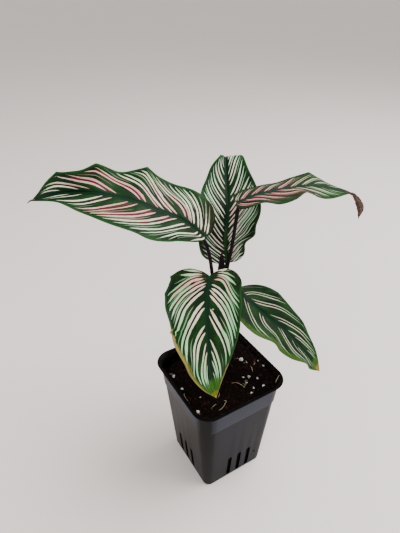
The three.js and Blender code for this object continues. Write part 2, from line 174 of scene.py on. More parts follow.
# The veins of each half blade: where each leaves the midrib, is half-way out and reaches the margin,
# in thousandths of the blade's length, and how pink the pair of stripes along it is, from 0 to 1.
VEINS = {
    "left": ([
        (0, 12, 50, 0), (40, 78, 300, 0), (100, 215, 520, 0.3), (200, 380, 660, 0.6), (330, 515, 740, 0.9),
        (500, 620, 800, 1), (610, 750, 900, 0.4), (740, 920, 1080, 0.3), (860, 1020, 1200, 0),
    ], [
        (10, 58, 120, 0.3), (45, 118, 220, 0.5), (95, 175, 290, 0.3), (120, 225, 480, 0.7),
        (200, 370, 570, 0.6), (280, 500, 630, 0.5), (440, 590, 760, 1), (590, 735, 880, 0.9),
        (690, 870, 1040, 0.5), (840, 1000, 1150, 0),
    ]),
    "back": ([
        (20, 90, 170, 0.3), (80, 155, 250, 0.45), (130, 225, 330, 0.3), (200, 290, 430, 0.1),
        (260, 370, 540, 0), (350, 475, 620, 0.3), (440, 565, 680, 0.4), (530, 650, 760, 0),
        (610, 740, 850, 0.1), (700, 820, 920, 0), (800, 900, 1000, 0.1), (900, 1000, 1100, 0),
    ], [
        (0, 45, 90, 0.4), (30, 68, 140, 0.6), (50, 140, 340, 0.4), (70, 230, 400, 0.1),
        (130, 295, 430, 0.4), (220, 350, 460, 0.4), (280, 410, 500, 0.5), (360, 495, 630, 0.1),
        (460, 595, 700, 0.4), (530, 680, 800, 0), (620, 760, 880, 0), (720, 850, 960, 0),
        (820, 930, 1050, 0),
    ]),
    "right": ([
        (0, 50, 150, 0.2), (30, 140, 300, 0.8), (120, 270, 450, 1), (250, 400, 580, 0.7),
        (380, 530, 700, 1), (500, 640, 800, 0.5), (600, 740, 880, 0), (700, 830, 960, 0),
        (800, 920, 1050, 0),
    ], [
        (0, 60, 140, 0.9), (30, 150, 300, 0.9), (100, 270, 450, 1), (210, 400, 600, 1),
        (340, 530, 720, 0.7), (480, 660, 840, 0.2), (600, 780, 940, 0), (720, 890, 1050, 0),
    ]),
    "front": ([
        (10, 45, 110, 0.2), (30, 88, 320, 0.6), (90, 200, 520, 0.2), (135, 320, 660, 0.3),
        (290, 540, 820, 0), (520, 820, 1100, 0.1), (680, 980, 1300, 0),
    ], [
        (0, 40, 65, 0.2), (15, 92, 260, 0.7), (45, 175, 360, 0.5), (100, 265, 460, 0.3),
        (250, 420, 630, 0.1), (420, 595, 900, 0), (540, 800, 1050, 0.15), (680, 950, 1200, 0),
    ]),
    "lower_right": ([
        (60, 140, 450, 0), (100, 325, 720, 0.1), (270, 610, 920, 0.2), (500, 800, 1050, 0),
        (700, 980, 1200, 0),
    ], [
        (60, 195, 370, 0), (220, 340, 660, 0.1), (380, 600, 820, 0), (560, 760, 980, 0),
        (700, 900, 1100, 0),
    ]),
}

# ------------------------ curves and surfaces


def with_ends(values):
    """The values as an array, with one more at each end, in line with the last two."""
    points = np.array(values, float)
    return np.concatenate([[2 * points[0] - points[1]], points, [2 * points[-1] - points[-2]]])


def cubic_between(start, end, leaving, arriving, t):
    """The cubic from start to end that has these slopes there, at t from 0 to 1."""
    cubic = 2 * (start - end) + leaving + arriving
    square = 3 * (end - start) - 2 * leaving - arriving
    return cubic * t**3 + square * t**2 + leaving * t + start


def along(values, share):
    """A uniform Catmull-Rom curve through the values, at shares of its length from 0 to 1."""
    points = with_ends(values)
    last = len(values) - 1
    place = np.clip(share, 0, 1) * last
    segment = np.minimum(place.astype(int), last - 1)
    t = place - segment
    if points.ndim > 1:
        t = t[..., None]
    before, start, end, after = (points[segment + step] for step in range(4))
    return cubic_between(start, end, (end - before) / 2, (after - start) / 2, t)


def unit(vectors):
    return vectors / np.linalg.norm(vectors, axis=-1, keepdims=True)


def smoothstep(low, high, value):
    share = np.clip((value - low) / (high - low), 0, 1)
    return share * share * (3 - 2 * share)


def turned(x, y, angle):
    """The point turned about the origin."""
    return x * cos(angle) - y * sin(angle), x * sin(angle) + y * cos(angle)


def orbit(x, y, radius, angle):
    """The point at this radius and angle from x, y."""
    return x + radius * cos(angle), y + radius * sin(angle)


def half_widths(blade, u, reach):
    """The width of the half blade that each point lies in."""
    return np.where(reach < 0, *[np.maximum(along(width, u), LEAST_WIDTH) for width in blade["width"]])


def blade_point(blade, u, reach):
    """A point of the blade's middle surface: u runs from base to tip, reach from -1 to 1 across."""
    step = 1e-3
    rib = blade["rib"]
    forward = unit(along(rib, np.clip(u + step, 0, 1)) - along(rib, np.clip(u - step, 0, 1)))
    across = np.array(blade["across"], float)
    across = unit(across - (forward @ across)[..., None] * forward)
    upward = np.cross(across, forward)
    share = np.abs(reach)
    width = half_widths(blade, u, reach)
    fold = np.radians(np.where(reach < 0, *[along(fold, u) for fold in blade["fold"]]))
    near_base = np.clip(1 - u * (len(blade["width"][0]) - 1) / 2, 0, 1) ** 2
    back = np.where(reach < 0, *blade["lobes"]) * share * (2 - share) * near_base
    side = (width * reach * np.cos(fold))[..., None] * across
    lift = (width * share * np.sin(fold))[..., None] * upward
    return along(rib, u) + side + lift - back[..., None] * forward


def blade_normal(blade, u, reach):
    step = 4e-3
    later, earlier = (blade_point(blade, np.clip(u + way, 0, 1), reach) for way in (step, -step))
    right, left = (blade_point(blade, u, np.clip(reach + way, -1, 1)) for way in (step, -step))
    return unit(np.cross(right - left, later - earlier))


# ------------------------ meshes


def mesh_object(name, points, faces, materials, layers=None, smooth=True, face_material=None):
    """A mesh object from points in millimetres. layers maps a UV layer's name to pairs by point."""
    mesh = bpy.data.meshes.new(name)
    places = [tuple(point) for point in np.asarray(points) * MM]
    mesh.from_pydata(places, [], [tuple(int(i) for i in face) for face in faces])
    mesh.update()
    corner_points = np.empty(len(mesh.loops), dtype=np.int32)
    mesh.loops.foreach_get("vertex_index", corner_points)
    for layer_name, pairs in (layers or {}).items():
        layer = mesh.uv_layers.new(name=layer_name)
        layer.data.foreach_set("uv", np.asarray(pairs, dtype=np.float32)[corner_points].ravel())
    for material in materials:
        mesh.materials.append(material)
    if face_material is not None:
        mesh.polygons.foreach_set("material_index", np.asarray(face_material, dtype=np.int32))
    mesh.polygons.foreach_set("use_smooth", np.full(len(mesh.polygons), smooth))
    piece = bpy.data.objects.new(name, mesh)
    bpy.context.scene.collection.objects.link(piece)
    return piece


def grid_faces(rows, columns, closed=False):
    """Quads of a grid stored row by row, whose last column joins its first if it is closed."""
    faces = []
    for row in range(rows - 1):
        for column in range(columns if closed else columns - 1):
            a = row * columns + column
            b = row * columns + (column + 1) % columns
            faces.append((a, b, b + columns, a + columns))
    return faces


def capped_faces(rows, columns):
    """Quads of a closed grid, and one face over each of its open ends."""
    faces = grid_faces(rows, columns, closed=True)
    faces.append(tuple(range(columns))[::-1])
    faces.append(tuple(range((rows - 1) * columns, rows * columns)))
    return faces


def sheet(upper, lower):
    """A sheet from the grids of its two sides: its points, then its top, bottom and rim faces."""
    columns, rows = upper.shape[:2]
    count = columns * rows
    top = grid_faces(columns, rows)
    bottom = [(a + count, d + count, c + count, b + count) for a, b, c, d in top]
    edge = [column * rows for column in range(columns)]
    edge += range((columns - 1) * rows + 1, columns * rows)
    edge += [column * rows + rows - 1 for column in range(columns - 2, -1, -1)]
    edge += range(rows - 2, 0, -1)
    rim = [(p, p + count, q + count, q) for p, q in zip(edge, edge[1:] + edge[:1])]
    return np.concatenate([upper.reshape(-1, 3), lower.reshape(-1, 3)]), top, bottom, rim


def turn_outward(piece):
    shape = bmesh.new()
    shape.from_mesh(piece.data)
    bmesh.ops.recalc_face_normals(shape, faces=shape.faces)
    shape.to_mesh(piece.data)
    shape.free()


def sharpen(piece, degrees):
    """Marks the edges at which the surface turns by more than this as sharp."""
    shape = bmesh.new()
    shape.from_mesh(piece.data)
    for edge in shape.edges:
        edge.smooth = not (len(edge.link_faces) == 2 and edge.calc_face_angle(0) > radians(degrees))
    shape.to_mesh(piece.data)
    shape.free()


def finish_piece(piece, slot, *nodes):
    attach(piece, "root")
    if nodes:
        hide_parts(*nodes)
    return piece


def joined(name, parts, material, slot, smooth=True):
    """One piece from several sets of points and faces."""
    points, faces = [], []
    for some_points, some_faces in parts:
        faces += [[index + len(points) for index in face] for face in some_faces]
        points += list(some_points)
    return finish_piece(mesh_object(name, points, faces, [material], smooth=smooth), slot)


# ------------------------ shader formulas


def linear(share):
    """The light of a display's level, both from 0 to 1."""
    return share / 12.92 if share <= 0.04045 else ((share + 0.055) / 1.055) ** 2.4


def put(tree, slot, value):
    """Feeds a slot with a field, a number, or a colour on a display's scale of 0 to 255."""
    if isinstance(value, Field):
        tree.links.new(value.socket, slot)
    elif isinstance(value, tuple):
        slot.default_value = (*(linear(level / 255) for level in value), 1.0)
    else:
        slot.default_value = value


def add_node(tree, kind, inputs, output=0, **settings):
    """One output of a new node, whose inputs are fed by number or by name."""
    node = tree.nodes.new("ShaderNode" + kind)
    for name, value in settings.items():
        setattr(node, name, value)
    for slot, value in inputs.items():
        put(tree, node.inputs[slot], value)
    return Field(tree, node.outputs[output])


class Field:
    """A node's output, with arithmetic, so that a shader reads as a formula."""

    def __init__(self, tree, socket):
        self.tree = tree
        self.socket = socket

    def calculate(self, operation, *others):
        return add_node(self.tree, "Math", dict(enumerate((self, *others))), operation=operation)

    __add__ = partialmethod(calculate, "ADD")
    __sub__ = partialmethod(calculate, "SUBTRACT")
    __mul__ = partialmethod(calculate, "MULTIPLY")
    __truediv__ = partialmethod(calculate, "DIVIDE")
    __pow__ = partialmethod(calculate, "POWER")
    abs = partialmethod(calculate, "ABSOLUTE")
    floor = partialmethod(calculate, "FLOOR")
    sign = partialmethod(calculate, "SIGN")
    least = partialmethod(calculate, "MINIMUM")
    most = partialmethod(calculate, "MAXIMUM")

    def step(self, low, high):
        """0 below low, 1 above high, with a soft passage between. high may be below low."""
        falling = high < low
        inputs = {
            "Value": self, "From Min": min(low, high), "From Max": max(low, high),
            "To Min": float(falling), "To Max": float(not falling),
        }
        return add_node(self.tree, "MapRange", inputs, "Result", interpolation_type="SMOOTHSTEP")

    def split(self):
        node = add_node(self.tree, "SeparateXYZ", {0: self}).socket.node
        return [Field(self.tree, output) for output in node.outputs]


class Shader:
    """A material and the nodes that feed its Principled shader."""

    def __init__(self, name, **constants):
        self.material = bpy.data.materials.new(name)
        self.material.use_nodes = True
        self.tree = self.material.node_tree
        self.tree.nodes.clear()
        self.output = self.tree.nodes.new("ShaderNodeOutputMaterial")
        self.surface = self.tree.nodes.new("ShaderNodeBsdfPrincipled")
        for slot, value in constants.items():
            self.surface.inputs[slot.replace("_", " ")].default_value = value
        self.tree.links.new(self.surface.outputs[0], self.output.inputs["Surface"])
        # The point's place in the CAD frame, in millimetres.
        place = {0: add_node(self.tree, "TexCoord", {}, "Object"), "Scale": 1 / MM}
        self.place = add_node(self.tree, "VectorMath", place, operation="SCALE")

    def join(self, x, y, z=0.0):
        return add_node(self.tree, "CombineXYZ", {0: x, 1: y, 2: z})

    def layer(self, name):
        """The two numbers that a UV layer holds."""
        return add_node(self.tree, "UVMap", {}, uv_map=name).split()[:2]

    def noise(self, scale, detail, roughness=0.5, at=None):
        inputs = {"Vector": at or self.place, "Scale": scale, "Detail": detail, "Roughness": roughness}
        return add_node(self.tree, "TexNoise", inputs)

    def streaks(self, x, y, z=0.0, detail=3):
        """Noise that is stretched, because its coordinates differ in scale."""
        return self.noise(1.0, detail, at=self.join(x, y, z))

    def cells(self, scale):
        return add_node(self.tree, "TexVoronoi", {"Vector": self.place, "Scale": scale}, "Distance")

    def chance(self, x, y):
        """A random number from 0 to 1 for each pair of whole numbers."""
        inputs = {"Vector": self.join(x, y)}
        return add_node(self.tree, "TexWhiteNoise", inputs, "Value", noise_dimensions="2D")

    def mix(self, share, first, second):
        return add_node(self.tree, "Mix", {0: share, 6: first, 7: second}, 2, data_type="RGBA")

    def coats(self, base, *coats):
        """The base with other colours laid over it in turn, each as far as its mask says."""
        for mask, tone in coats:
            base = self.mix(mask, base, tone)
        return base

    def paint(self, base, height, distance, roughness=None, glow=0.0):
        """The finished material. glow is the share of the light that a thin leaf lets through."""
        put(self.tree, self.surface.inputs["Base Color"], base)
        if roughness is not None:
            put(self.tree, self.surface.inputs["Roughness"], roughness)
        bump = add_node(self.tree, "Bump", {"Distance": distance * MM, "Height": height})
        put(self.tree, self.surface.inputs["Normal"], bump)
        if glow:
            thin = add_node(self.tree, "BsdfTranslucent", {"Color": base})
            both = {0: glow, 1: Field(self.tree, self.surface.outputs[0]), 2: thin}
            put(self.tree, self.output.inputs["Surface"], add_node(self.tree, "MixShader", both))
        return self.material


# ------------------------ materials

# How each leaf's stripes look: the width of a line, the width of the dark vein between a pair of
# lines and the pair's start from the midrib, in mm; how warm and how faint the lines are; how far
# from the base the ground is brown; how evenly the lines fill each half blade; the strength of the
# third line, between two pairs, and its start; how green the lines turn toward the tip; how far
# they stay from the margin at the base; and their two colours.
Look = namedtuple(
    "Look",
    "line vein start warm faint brown spread third third_start tip_green lobe_margin cream mint",
)
LOOKS = {
    "left": Look(
        0.85, 0.65, 1, 0.25, 0, 0.2, (0.5, 0.25), 0.35, 4, 0.3, 0, (226, 232, 212), (182, 220, 178),
    ),
    "back": Look(
        0.75, 0.55, 0.8, 0.2, 0.05, 0.5, (0.6, 0.5), 0.6, 2.5, 0.3, 0, (216, 230, 208), (172, 220, 178),
    ),
    "right": Look(
        0.58, 0.5, 0.7, 0.8, 0.1, 0.9, (0.15, 0.1), 0.3, 3, 1, 0, (200, 204, 180), (138, 192, 132),
    ),
    "front": Look(
        1.14, 0.8, 0.8, 0.6, 0.03, 0.1, (0.2, 0.2), 0.4, 5, 1, 3, (208, 220, 196), (136, 204, 148),
    ),
    "lower_right": Look(
        0.5, 1, 1.1, 0.4, 0.25, 0.1, (0.05, 0.05), 0, 5, 0.9, 1, (214, 220, 198), (160, 204, 150),
    ),
}

# Patches of another colour: share of the length, reach across, their half sizes, colour, strength.
TAN = (168, 142, 92)
LIME = (64, 98, 26)
PATCHES = {
    # The left leaf's second patch, dark olive at the base of one half, is painted shade on the folded-up
    # base lobe.
    "left": [(1, 0, 0.07, 1, (16, 40, 18), 0.8), (0.02, 0.85, 0.1, 0.4, (34, 34, 10), 0.75)],
    "back": [
        (0.675, 0.25, 0.012, 0.5, (128, 118, 88), 0.5),
        (0.12, 0, 0.13, 0.08, (44, 78, 36), 0.6),
    ],
    "right": [
        (0.99, 0, 0.05, 1.2, (62, 40, 30), 0.9),
        (0.5, 0.95, 0.1, 0.3, (66, 56, 38), 0.6),
        (0.28, 0.86, 0.15, 0.3, (16, 48, 12), 0.85),
    ],
    "front": [
        (0.96, 0, 0.13, 1.5, (46, 92, 6), 0.9),
        (0.965, 0.1, 0.03, 1.4, (116, 112, 12), 0.8),
        (1.01, 0, 0.03, 1.2, (164, 146, 76), 0.9),
        (0.68, 1, 0.3, 0.09, TAN, 0.85),
        (0.72, 0.93, 0.22, 0.1, (116, 120, 40), 0.6),
        (0.88, -1, 0.12, 0.12, TAN, 0.5),
        (0.305, -0.17, 0.006, 0.026, (210, 210, 196), 0.8),
    ],
    "lower_right": [
        (0.95, 0, 0.08, 1.3, LIME, 0.8),
        (1, 0, 0.07, 1.2, (150, 124, 52), 0.9),
        (0.55, 1, 0.5, 0.22, LIME, 0.6),
    ],
}
LEAF_BUMP = 0.12
LEAF_GLOW = 0.1


def leaf_upper(side):
    """Dark green with pale lines: one on each side of a vein, and a thin third one between pairs."""
    look = LOOKS[side]
    s = Shader(f"leaf_{side}_upper", Roughness=0.5, Specular_IOR_Level=0.1)
    u, reach = s.layer("blade")
    phase, period = s.layer("veins")
    from_rib, from_margin = s.layer("edges")
    pink, _ = s.layer("tint")
    out = reach.abs()
    half_blade = reach.sign() * 31  # tells the two halves apart in the random numbers
    fine = s.noise(1.4, 3)
    broad = s.noise(0.12, 2)

    # The pair of lines: how wide they are here and how far their middles lie from the vein.
    number = phase.floor()
    wobble = (s.noise(0.5, 2) - 0.5) * 0.3
    offset = (phase - number - 0.5) * period + wobble
    chance = s.chance(number, half_blade)
    line_chance = s.chance(number * 2 + offset.sign(), half_blade + 7)
    unevenness = s.streaks(phase * 2, from_rib * 0.3, detail=2) + 0.5
    half_line = (line_chance * 0.4 + 0.8) * unevenness * (look.line / 2)
    half_vein = (chance * 0.4 + 0.8) * (look.vein / 2)
    fit = ((period * 0.44) / (half_line * 2 + half_vein)).least(1.0)
    begin = line_chance * 0.7 + chance + (look.start - 0.6)
    opening = (from_rib - begin).step(0.0, 2.6)
    base_lobe = u.step(0.2, 0.02) * look.lobe_margin
    closing = (from_margin - base_lobe + (fine - 0.5) * 1.6).step(0.9, 6.0)
    left, right = look.spread
    spread = reach.sign() * ((right - left) / 2) + (right + left) / 2
    middle = (half_vein + half_line) * fit
    middle = middle + (period * 0.25 - middle).most(0.0) * spread
    free = (period * 0.5 - middle - half_line * fit).most(0.0)
    half_line = half_line * fit * opening**0.5 * closing**0.6
    stripe = (half_line - (offset.abs() - middle).abs()).step(-0.1, 0.1)
    stripe = stripe * opening.step(0.0, 0.12) * closing.step(0.0, 0.12)

    # The third line, in the gap between two pairs.
    gap = phase + 0.5
    gap_number = gap.floor()
    gap_offset = (gap - gap_number - 0.5) * period + wobble
    gap_chance = s.chance(gap_number, half_blade + 13)
    gap_opening = (from_rib - gap_chance * 5 - look.third_start).step(0.0, 7.0)
    half_third = (free * 0.34).least(look.line * 0.3) * gap_opening**0.6 * closing**0.6
    third = (half_third - gap_offset.abs()).step(-0.08, 0.08)
    third = third * gap_opening.step(0.0, 0.2) * closing.step(0.0, 0.12)
    stripe = stripe.most(third * look.third)
    strength = (s.streaks(phase * 9, from_rib * 0.5) - 0.5) * 0.35 + 0.93
    stripe = stripe * (strength - look.faint)

    # The lines' colour: cream near the midrib, mint farther out, rosy where the vein's tint says so.
    cream = s.mix(look.warm, look.cream, (220, 194, 172))
    outward = (out + (broad - 0.5) * 0.9).step(0.2, 0.9)
    toward_tip = (u + (fine - 0.5) * 0.2).step(0.45, 0.9) * look.tip_green
    pale = s.mix(outward.most(toward_tip) * 0.9, cream, look.mint)
    rosy = (pink * 1.1 - out * 0.55 + (s.noise(0.3, 2) - 0.5) * 0.9).step(0.1, 0.8)
    pale = s.mix(rosy * 0.8, pale, s.mix(fine, (206, 108, 122), (224, 156, 158)))

    # The ground: green, darker in streaks, teal along the midrib, with a dark or red line on a vein.
    streak = s.streaks(phase * 14, from_rib * 0.25)
    ragged = (s.streaks(phase * 3, reach.sign() * 5, detail=2) - 0.5) * 3.5
    vein_line = offset.abs().step(0.42, 0.16) * opening.step(0.0, 0.4) * closing.step(0.1, 0.6)
    reddish = (pink + (s.noise(0.25, 2) - 0.5) * 1.2).step(0.2, 1.0)
    base = s.coats(
        s.mix((broad + (fine - 0.5) * 0.6).step(0.3, 0.75), (5, 27, 7), (18, 56, 11)),
        (streak.step(0.35, 0.75) * 0.5, (6, 22, 10)),
        ((u + (fine - 0.5) * 0.3).step(look.brown, 0.0) * 0.7, (26, 15, 10)),
        ((from_rib + ragged).step(2.4, 0.4), (0, 30, 15)),
        (from_margin.step(1.4, 0.3) * 0.6, (26, 74, 30)),
        (from_rib.step(0.5, 0.15) * 0.3, (16, 50, 24)),
        (vein_line * 0.75, s.mix(reddish, (16, 20, 9), (108, 16, 44))),
        (stripe, pale),
    )
    for at, across, half_length, half_reach, tone, cover in PATCHES[side]:
        far = ((u - at) / half_length) ** 2.0 + ((reach - across) / half_reach) ** 2.0
        patch = (far + (s.noise(0.45, 3) - 0.5) * 1.4).step(1.25, 0.55)
        mottled = s.mix(fine, tone, tuple(level * 0.72 for level in tone))
        base = s.mix(patch * cover, base, mottled)
    return s.paint(base, stripe * 0.3 + fine * 0.5 + streak * 0.35, LEAF_BUMP, glow=LEAF_GLOW)


def leaf_under(side):
    """Purple, with green showing on the veins and at the margin."""
    s = Shader(f"leaf_{side}_under", Roughness=0.55, Specular_IOR_Level=0.15)
    phase, _ = s.layer("veins")
    from_rib, from_margin = s.layer("edges")
    within = (phase - phase.floor() - 0.5).abs()
    streak = s.streaks(phase * 10, from_rib * 0.25)
    base = s.coats(
        s.mix(s.noise(0.2, 3).step(0.3, 0.7), (78, 30, 50), (104, 44, 64)),
        (streak.step(0.3, 0.8) * 0.4, (60, 24, 40)),
        (within.step(0.12, 0.03) * 0.6, (66, 58, 44)),
        (from_rib.step(1.0, 0.5), (92, 70, 56)),
        (from_margin.step(1.0, 0.2) * 0.6, (66, 74, 44)),
    )
    return s.paint(base, streak + within.step(0.1, 0.0), LEAF_BUMP, glow=LEAF_GLOW)


def withered():
    s = Shader("withered_leaf", Roughness=0.8)
    grain = s.noise(0.9, 4, 0.6)
    base = s.mix(grain.step(0.3, 0.7), (30, 17, 13), (82, 54, 40))
    # Light flecks of painted highlight.
    base = s.mix(s.noise(3.0, 2).step(0.5, 0.8) * 0.4, base, (104, 78, 60))
    return s.paint(base, grain, 0.25)


def stalk_skin():
    s = Shader("stalk_skin", Specular_IOR_Level=0.08)
    x, y, z = s.place.split()
    streak = s.streaks(x * 2, y * 2, z * 0.12)
    base = s.mix(streak.step(0.3, 0.75), (10, 4, 8), (24, 11, 17))
    base = s.mix(s.noise(0.15, 2).step(0.55, 0.8) * 0.5, base, (18, 19, 11))
    return s.paint(base, streak + s.noise(5.0, 1) * 0.4, 0.12, streak * 0.2 + 0.35)


def shoot_skin():
    s = Shader("shoot_skin", Specular_IOR_Level=0.08)
    x, y, z = s.place.split()
    streak = s.streaks(x * 1.6, y * 1.6, z * 0.1, detail=4)
    green_side = (x * 0.5 + (streak - 0.5) * 2 + 0.2).step(0.0, 0.8)
    purple = s.mix(streak.step(0.3, 0.75), (9, 3, 7), (20, 9, 14))
    green = s.mix(streak.step(0.3, 0.75), (3, 5, 2), (12, 16, 8))
    base = s.mix(green_side, purple, green)
    base = s.mix(z.step(92.0, 78.0) * 0.7, base, (24, 15, 13))
    return s.paint(base, streak, 0.15, streak * 0.2 + 0.4)


def black_plastic():
    """Satin black, with a painted reflection that lightens the flat faces and leaves the rounded corners
    near black; the flat faces also carry light scuffs.
    """
    s = Shader("black_plastic", Specular_IOR_Level=0.05)
    x, y, z = s.place.split()
    cloud = s.noise(0.06, 3)
    scuffs = s.streaks(x * 0.5, y * 0.5, z * 0.08).step(0.5, 0.8)
    dust = s.noise(1.3, 4, 0.65).step(0.56, 0.75)
    half = z * DRAFT + BASE_HALF
    # Painted reflection: the flat faces take it, and the rounded corners stay near black.
    flat = (x.abs().least(y.abs()) / half).step(0.88, 0.6)
    # The painted reflection is warm on the faces across X and bluish on the faces across Y.
    painted_reflection_grey = s.mix((x.abs() - y.abs()).step(-1.0, 1.0), (21, 23, 33), (42, 37, 35))
    # The painted reflection fades to near black towards the bottom of the sides, with a cloudy variation.
    face = s.mix(cloud.step(0.3, 0.7) * 0.4 + z.step(0.0, 70.0) * 0.6, (4, 5, 9), painted_reflection_grey)
    # Painted reflection: the band below the rim is lighter, and a thin painted highlight runs along the
    # rounded edge at its foot.
    band = z.step(BAND_FOOT - 0.4, BAND_FOOT + 0.2)
    band_edge_highlight = z.step(BAND_FOOT - 1.0, BAND_FOOT - 0.3) * z.step(BAND_FOOT + 0.5, BAND_FOOT)
    # How far in a point lies from the wall's outside, which stands farther out at the rim.
    depth = half + z.step(75.0, 77.0) * 0.4 - x.abs().most(y.abs())
    # Painted shade: the inside of the wall, the sides of the slots and the rim's top and underside are near
    # black.
    inside = depth.step(0.1, 0.3).most(z.step(78.2, 78.8))
    base = s.coats(
        s.mix(flat, (2, 2, 3), face),
        (scuffs * flat * 0.3, (26, 26, 30)),
        (band * (flat * 0.6 + 0.2), (46, 50, 62)),
        (band_edge_highlight * 0.6, (92, 94, 100)),
        (inside, (2, 2, 2)),
        (dust * 0.08, (60, 58, 56)),
        (z.step(9.0, 0.0) * dust * 0.25, (90, 80, 70)),
    )
    return s.paint(base, s.noise(6.0, 2) * 0.6 + cloud * 0.4, 0.05, cloud * 0.12 + dust * 0.15 + 0.32)


def peat(name, dark, light, bumps=0.5):
    s = Shader(name, Roughness=0.95, Specular_IOR_Level=0.05)
    grain = s.noise(0.8, 5, 0.65)
    base = s.mix(grain.step(0.35, 0.7), dark, light)
    lighter = tuple(level * 1.5 for level in light)
    base = s.mix(s.noise(2.4, 3).step(0.58, 0.78) * 0.5, base, lighter)
    return s.paint(base, grain + s.noise(3.0, 3) * 0.5, bumps)


def perlite():
    s = Shader("perlite", Roughness=0.9, Specular_IOR_Level=0.25)
    holes = s.cells(2.2)
    base = s.coats(
        s.mix(holes.step(0.1, 0.5), (176, 172, 164), (236, 234, 228)),
        (s.noise(0.17, 1).step(0.44, 0.56) * 0.6, (74, 62, 52)),
        (s.noise(0.9, 2).step(0.5, 0.75) * 0.5, (96, 80, 64)),
    )
    return s.paint(base, holes + s.noise(4.0, 2) * 0.5, 0.3)


def floor_finish():
    s = Shader("studio_floor", Roughness=0.85, Specular_IOR_Level=0.2)
    base = s.mix(s.noise(0.004, 2), (216, 208, 205), (222, 214, 211))
    return s.paint(base, s.noise(1.0, 2), 0.02)


# ------------------------ leaves

BLADE_THICKNESS = 0.4
EDGE_THICKNESS = 0.2
BLADE_ROUNDING = 0.8  # a blade reaches its full width within this share of its first step
LEAST_WIDTH = 0.3
RIDGE = 1  # how far the midrib stands out under the blade, at its base
GROOVE = 0.3
PLEAT = 0.22
RIPPLE = 0.15
COLUMNS = 230
ROWS = 116
TIP_THICKNESS = 0.32


def blade_grid(blade, columns, rows):
    """Shares of the length and reaches of a grid that goes round the rounded base."""
    rounding = BLADE_ROUNDING / (len(blade["width"][0]) - 1)
    round_columns = columns // 8
    angle = np.linspace(0, pi / 2, round_columns, endpoint=False)
    u = np.concatenate([rounding * (1 - np.cos(angle)), np.linspace(rounding, 1, columns - round_columns)])
    extent = np.sqrt(np.clip(1 - (1 - np.minimum(u / rounding, 1)) ** 2, 0, 1))
    flat = np.linspace(-1, 1, rows)
    u, reach = np.meshgrid(u, np.sign(flat) * np.abs(flat) ** 1.15, indexing="ij")
    return u, reach * np.maximum(extent, 0.03)[:, None]


def vein_phase(veins, u, reach):
    """Counts the veins along the blade: half-way between whole numbers on each vein's line."""
    order = np.arange(len(veins)) + 0.5
    lines = np.stack([along(np.array(vein[:3]) / 1000, np.abs(reach)) for vein in veins])
    lines = np.maximum.accumulate(lines + order[:, None] * 1e-5, axis=0)
    phase = np.empty_like(u)
    for i, (share, here) in enumerate(zip(u, lines.T)):
        phase[i] = np.interp(share, here, order)
        if share < here[0]:
            phase[i] = order[0] - (here[0] - share) / max(here[1] - here[0], 0.03)
        elif share > here[-1]:
            phase[i] = order[-1] + (share - here[-1]) / max(here[-1] - here[-2], 0.03)
    return phase, np.interp(phase, order, [vein[3] for vein in veins])


def blade_layers(side, u, reach, points):
    """At each point: the count of veins, the pink, the veins' pitch, and how far rib and margin lie."""
    phase = np.empty_like(u)
    pink = np.empty_like(u)
    for half, chosen in enumerate((reach < 0, reach >= 0)):
        phase[chosen], pink[chosen] = vein_phase(VEINS[side][half], u[chosen], reach[chosen])
    first, second = np.gradient(phase)
    down, over = np.gradient(points, axis=(0, 1))
    e, f, g = ((a * b).sum(-1) for a, b in ((down, down), (down, over), (over, over)))
    steepness = np.abs(g * first**2 - 2 * f * first * second + e * second**2)
    slope = np.sqrt(steepness / np.maximum(e * g - f * f, 1e-9))
    period = np.clip(1 / np.maximum(slope, 1e-3), 0.5, 14)
    width = half_widths(BLADES[side], u, reach)
    from_base = np.cumsum(np.linalg.norm(down, axis=-1), axis=0)
    from_tip = (1 - u) * from_base[-1]
    from_margin = np.minimum.reduce([width * (1 - np.abs(reach)), from_tip * 0.6, from_base])
    return phase, pink, period, width * np.abs(reach), from_margin


def corner_pull(side, u, reach):
    """How far the blade is pulled out where its margin comes to a corner, in mm."""
    pull = np.zeros(u.shape + (3,))
    for half, at, spread, way in CORNERS.get(side, ()):
        away = np.minimum(np.abs(u - at) / spread, 2)
        cusp = (1 - 1.4 * away) * (1 - away / 2) ** 2
        share = np.where((reach > 0) == bool(half), cusp * np.abs(reach) ** 3, 0)
        pull = pull + share[..., None] * np.array(way)
    return pull


def leaf(side):
    blade = BLADES[side]
    u, reach = blade_grid(blade, COLUMNS, ROWS)
    middle = blade_point(blade, u, reach) + corner_pull(side, u, reach)
    normal = blade_normal(blade, u, reach)
    phase, pink, period, from_rib, from_margin = blade_layers(side, u, reach, middle)
    rim = smoothstep(0, 2.2, from_margin)
    pleat = PLEAT * np.cos(2 * pi * phase) * rim * smoothstep(0.6, 3, from_rib)
    ripple = RIPPLE * (1 - smoothstep(0, 5, from_margin)) * smoothstep(0, 2, from_rib)
    relief = pleat + ripple * np.sin(pi * phase + 1)
    groove = GROOVE * np.exp(-((from_rib / 0.7) ** 2))
    keel = RIDGE * (1 - 0.8 * u) * np.exp(-((from_rib / 1.1) ** 2))
    half = EDGE_THICKNESS / 2 + (BLADE_THICKNESS - EDGE_THICKNESS) / 2 * rim
    upper = middle + normal * (half + relief - groove)[..., None]
    lower = middle - normal * (half - relief + keel)[..., None]
    points, top, bottom, edge = sheet(upper, lower)
    pairs = {
        "blade": (u, reach), "veins": (phase, period),
        "edges": (from_rib, from_margin), "tint": (pink, pink),
    }
    layers = {name: np.tile(np.stack(pair, -1).reshape(-1, 2), (2, 1)) for name, pair in pairs.items()}
    materials = [leaf_upper(side), leaf_under(side)]
    under = [0] * len(top) + [1] * len(bottom) + [0] * len(edge)
    faces = top + bottom + edge
    piece = mesh_object(f"striped_leaf_{side}", points, faces, materials, layers, face_material=under)
    turn_outward(piece)
    return finish_piece(piece, "leaf", f"leaf_{side}")


